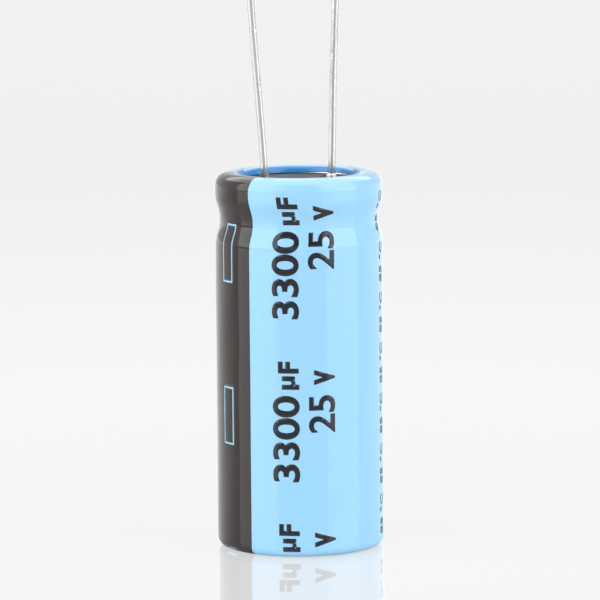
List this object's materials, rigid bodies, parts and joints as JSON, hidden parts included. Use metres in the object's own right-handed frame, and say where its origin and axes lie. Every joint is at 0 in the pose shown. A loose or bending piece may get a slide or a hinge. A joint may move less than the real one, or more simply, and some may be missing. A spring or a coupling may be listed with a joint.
{
  "type": "electrolytic capacitor",
  "caption": "Radial-lead aluminium electrolytic capacitor: printed film sleeve over a beaded can, rubber bung, tinned leads and a wound element inside.",
  "frame": {"origin": "centre of the base, on the surface that the film's turned-in edge rests on", "axes": "+Z along the can's axis towards the leads; the leads lie on the X axis, the negative one and the polarity stripe on the -X side"},
  "size_m": [0.0164, 0.0164, 0.062],
  "materials": {
    "film": "glossy light blue heat-shrink film",
    "stripe_ink": "glossy warm black print under the film's shine",
    "can_metal": "drawn aluminium, satin",
    "seal_rubber": "moulded dark grey rubber, matt",
    "tab_metal": "pressed aluminium, satin",
    "lead_tin": "bright hot-tinned wire",
    "winding_paper": "damp kraft paper between etched foils",
    "tape": "clear yellowish tape"
  },
  "bodies": {
    "root": {"sleeve": "film", "polarity_stripe": "stripe_ink", "can": "can_metal", "rubber_bung": "seal_rubber", "negative_tab": "tab_metal", "positive_tab": "tab_metal", "negative_lead": "lead_tin", "positive_lead": "lead_tin", "wound_element": "winding_paper", "closing_tape": "tape"}
  },
  "joints": []
}
